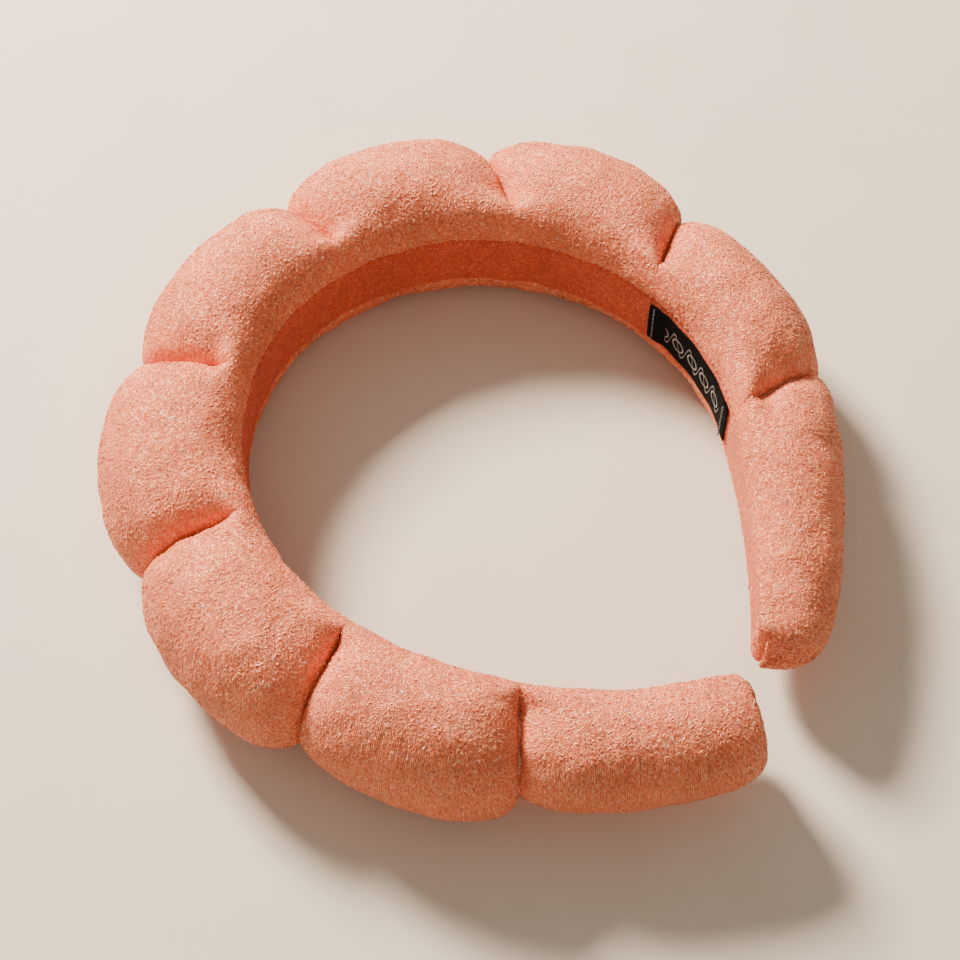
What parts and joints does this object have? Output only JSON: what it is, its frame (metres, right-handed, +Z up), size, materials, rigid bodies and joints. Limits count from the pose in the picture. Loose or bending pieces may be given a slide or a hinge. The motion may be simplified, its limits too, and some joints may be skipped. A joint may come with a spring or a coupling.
{
  "type": "spa headband",
  "caption": "Padded spa headband: velour puffs pinched round a springy C-shaped hoop, with a flat lining and a plain woven label inside.",
  "frame": {"origin": "on the table, under the middle of the band's bounding box, with the band lying on its side", "axes": "+Z up off the table and across the band's width, +Y from the gap between the tips towards the crown, +X towards the arm that carries the label"},
  "size_m": [0.1956, 0.2076, 0.0427],
  "materials": {
    "velour_cover": "short-pile velour, soft sheen",
    "velour_lining": "the same velour, flat and a little denser",
    "foam": "soft open-cell foam",
    "hoop_plastic": "plain springy plastic strip",
    "tie_thread": "twisted polyester thread",
    "label_tape": "woven satin tape",
    "label_thread": "fine sewing thread"
  },
  "bodies": {
    "left_4": {"cover_left_4": "velour_cover", "foam_left_4": "foam", "hoop_left_4": "hoop_plastic", "lining_left_4": "velour_lining", "end_fold_left": "velour_cover"},
    "left_3": {"cover_left_3": "velour_cover", "foam_left_3": "foam", "hoop_left_3": "hoop_plastic", "lining_left_3": "velour_lining", "tie_thread_left_3": "tie_thread"},
    "left_2": {"cover_left_2": "velour_cover", "foam_left_2": "foam", "hoop_left_2": "hoop_plastic", "lining_left_2": "velour_lining", "tie_thread_left_2": "tie_thread"},
    "left_1": {"cover_left_1": "velour_cover", "foam_left_1": "foam", "hoop_left_1": "hoop_plastic", "lining_left_1": "velour_lining", "tie_thread_left_1": "tie_thread"},
    "crown": {"cover_crown": "velour_cover", "foam_crown": "foam", "hoop_crown": "hoop_plastic", "lining_crown": "velour_lining", "tie_thread_crown_left": "tie_thread", "tie_thread_crown_right": "tie_thread"},
    "right_1": {"cover_right_1": "velour_cover", "foam_right_1": "foam", "hoop_right_1": "hoop_plastic", "lining_right_1": "velour_lining", "tie_thread_right_1": "tie_thread"},
    "right_2": {"cover_right_2": "velour_cover", "foam_right_2": "foam", "hoop_right_2": "hoop_plastic", "lining_right_2": "velour_lining", "tie_thread_right_2": "tie_thread"},
    "right_3": {"cover_right_3": "velour_cover", "foam_right_3": "foam", "hoop_right_3": "hoop_plastic", "lining_right_3": "velour_lining", "tie_thread_right_3": "tie_thread", "label": "label_tape", "label_stitch_near": "label_thread", "label_stitch_far": "label_thread"},
    "right_4": {"cover_right_4": "velour_cover", "foam_right_4": "foam", "hoop_right_4": "hoop_plastic", "lining_right_4": "velour_lining", "end_fold_right": "velour_cover"}
  },
  "joints": [
    {"name": "left_flex_1", "type": "hinge", "parent": "crown", "child": "left_1", "pos_m": [-0.02134, 0.06581, 0.021], "axis": [0, 0, -1], "range_deg": [0, 8], "stiffness_Nm_per_rad": 1.4},
    {"name": "left_flex_2", "type": "hinge", "parent": "left_1", "child": "left_2", "pos_m": [-0.05417, 0.03827, 0.021], "axis": [0, 0, -1], "range_deg": [0, 7]},
    {"name": "left_flex_3", "type": "hinge", "parent": "left_2", "child": "left_3", "pos_m": [-0.06492, -0.00117, 0.021], "axis": [0, 0, -1], "range_deg": [0, 5]},
    {"name": "left_flex_4", "type": "hinge", "parent": "left_3", "child": "left_4", "pos_m": [-0.05448, -0.04465, 0.021], "axis": [0, 0, -1], "range_deg": [0, 3]},
    {"name": "right_flex_1", "type": "hinge", "parent": "crown", "child": "right_1", "pos_m": [0.02443, 0.06581, 0.021], "axis": [0, 0, 1], "range_deg": [0, 8], "stiffness_Nm_per_rad": 1.4},
    {"name": "right_flex_2", "type": "hinge", "parent": "right_1", "child": "right_2", "pos_m": [0.05906, 0.03295, 0.021], "axis": [0, 0, 1], "range_deg": [0, 7]},
    {"name": "right_flex_3", "type": "hinge", "parent": "right_2", "child": "right_3", "pos_m": [0.06511, -0.00748, 0.021], "axis": [0, 0, 1], "range_deg": [0, 5]},
    {"name": "right_flex_4", "type": "hinge", "parent": "right_3", "child": "right_4", "pos_m": [0.04493, -0.0475, 0.021], "axis": [0, 0, 1], "range_deg": [0, 3]}
  ],
  "couplings": [
    {"joint": "left_flex_2", "follows": "left_flex_1", "ratio": 0.875},
    {"joint": "left_flex_3", "follows": "left_flex_1", "ratio": 0.625},
    {"joint": "left_flex_4", "follows": "left_flex_1", "ratio": 0.375},
    {"joint": "right_flex_2", "follows": "right_flex_1", "ratio": 0.875},
    {"joint": "right_flex_3", "follows": "right_flex_1", "ratio": 0.625},
    {"joint": "right_flex_4", "follows": "right_flex_1", "ratio": 0.375}
  ]
}
